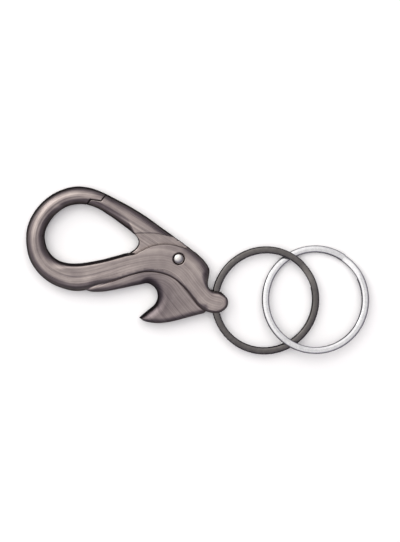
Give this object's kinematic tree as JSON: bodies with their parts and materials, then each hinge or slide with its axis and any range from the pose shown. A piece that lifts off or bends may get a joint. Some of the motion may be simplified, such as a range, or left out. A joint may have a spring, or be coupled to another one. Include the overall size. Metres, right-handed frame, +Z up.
{
  "type": "keychain bottle opener",
  "caption": "Flat die-cast carabiner with a sprung gate, a hooked claw that lifts crown caps, and linked split rings for keys.",
  "frame": {"origin": "Under the middle of the whole object's box, on the surface that it lies on.", "axes": "+X runs from the carabiner's loop to the outer key ring, +Y is across it towards the gate's side of the loop, and +Z is up through the casting's thickness."},
  "size_m": [0.1006, 0.05, 0.007],
  "materials": {
    "gunmetal": "satin black nickel plate on a die casting",
    "gate_gunmetal": "satin black nickel plate on a die casting",
    "bright_steel": "polished rivet",
    "spring_steel": "bright drawn wire",
    "dark_ring": "dark plated flat wire",
    "bright_ring": "bright plated flat wire"
  },
  "bodies": {
    "opener": {"opener_body": "gunmetal", "pivot_pin": "bright_steel", "gate_spring": "spring_steel"},
    "gate": {"gate": "gate_gunmetal"},
    "dark_ring": {"key_ring_1": "dark_ring"},
    "bright_ring": {"key_ring_2": "bright_ring"}
  },
  "joints": [
    {"name": "gate_hinge", "type": "hinge", "parent": "opener", "child": "gate", "pos_m": [-0.00665, 0.0041, 0.0035], "axis": [0, 0, 1], "range_deg": [0, 24], "stiffness_Nm_per_rad": 0.03, "springref_deg": -14.32, "deforming": ["gate_spring"]},
    {"name": "dark_ring_swing", "type": "hinge", "parent": "opener", "child": "dark_ring", "pos_m": [0.00435, -0.009, 0.0035], "axis": [0, -1, 0], "range_deg": [-90, 90]},
    {"name": "bright_ring_turn", "type": "hinge", "parent": "dark_ring", "child": "bright_ring", "pos_m": [0.03435, -0.009, 0.0035], "axis": [-1, 0, 0], "range_deg": [0, 161]}
  ]
}
